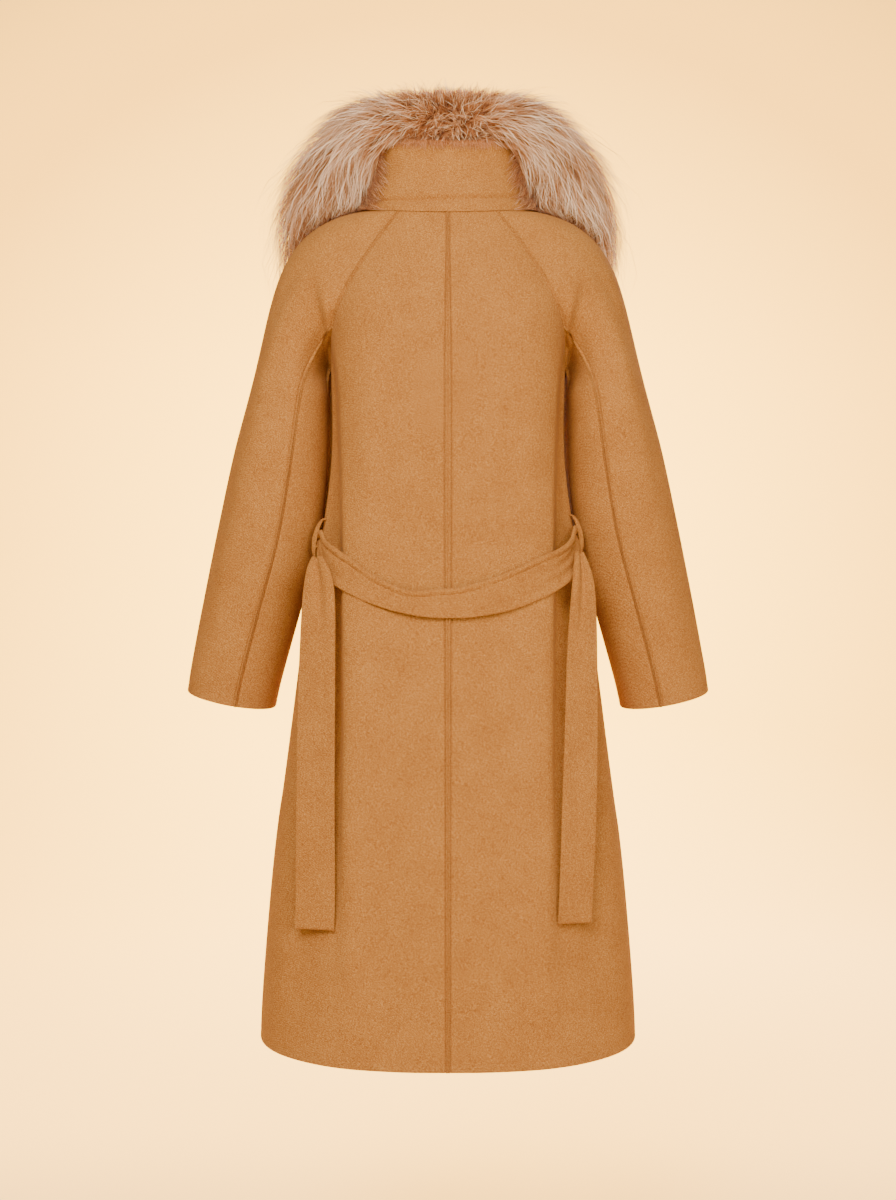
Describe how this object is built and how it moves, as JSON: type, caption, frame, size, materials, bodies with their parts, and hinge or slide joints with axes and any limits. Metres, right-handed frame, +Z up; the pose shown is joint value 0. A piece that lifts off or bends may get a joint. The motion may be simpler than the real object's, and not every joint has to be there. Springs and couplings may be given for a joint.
{
  "type": "coat with fur collar",
  "caption": "Long wrap coat in felted wool with raglan sleeves, a standing collar, a long-haired fur collar and a tie belt held by side loops, filled out as worn.",
  "frame": {"origin": "the middle of the neck, level with the neck seam at the centre back", "axes": "+X is the wearer's right, the picture's right in a view from behind; +Y is forwards, out of the fronts; +Z is up"},
  "size_m": [0.6858, 0.3323, 1.2369],
  "materials": {
    "coat_cloth": "felted wool and cashmere with a short nap, camel",
    "belt_cloth": "the coat's cloth, folded double and stitched, camel",
    "fur": "long-haired fur, rust brown below with pale tips"
  },
  "bodies": {
    "root": {"back_left": "coat_cloth", "back_right": "coat_cloth", "front_left": "coat_cloth", "front_right": "coat_cloth", "sleeve_upper_left": "coat_cloth", "sleeve_under_left": "coat_cloth", "sleeve_upper_right": "coat_cloth", "sleeve_under_right": "coat_cloth", "stand_collar": "coat_cloth", "belt_across": "belt_cloth", "belt_end_left": "belt_cloth", "belt_end_right": "belt_cloth", "loop_left": "belt_cloth", "loop_right": "belt_cloth", "fur_collar_left": "fur", "fur_collar_back": "fur", "fur_collar_right": "fur"}
  },
  "joints": []
}
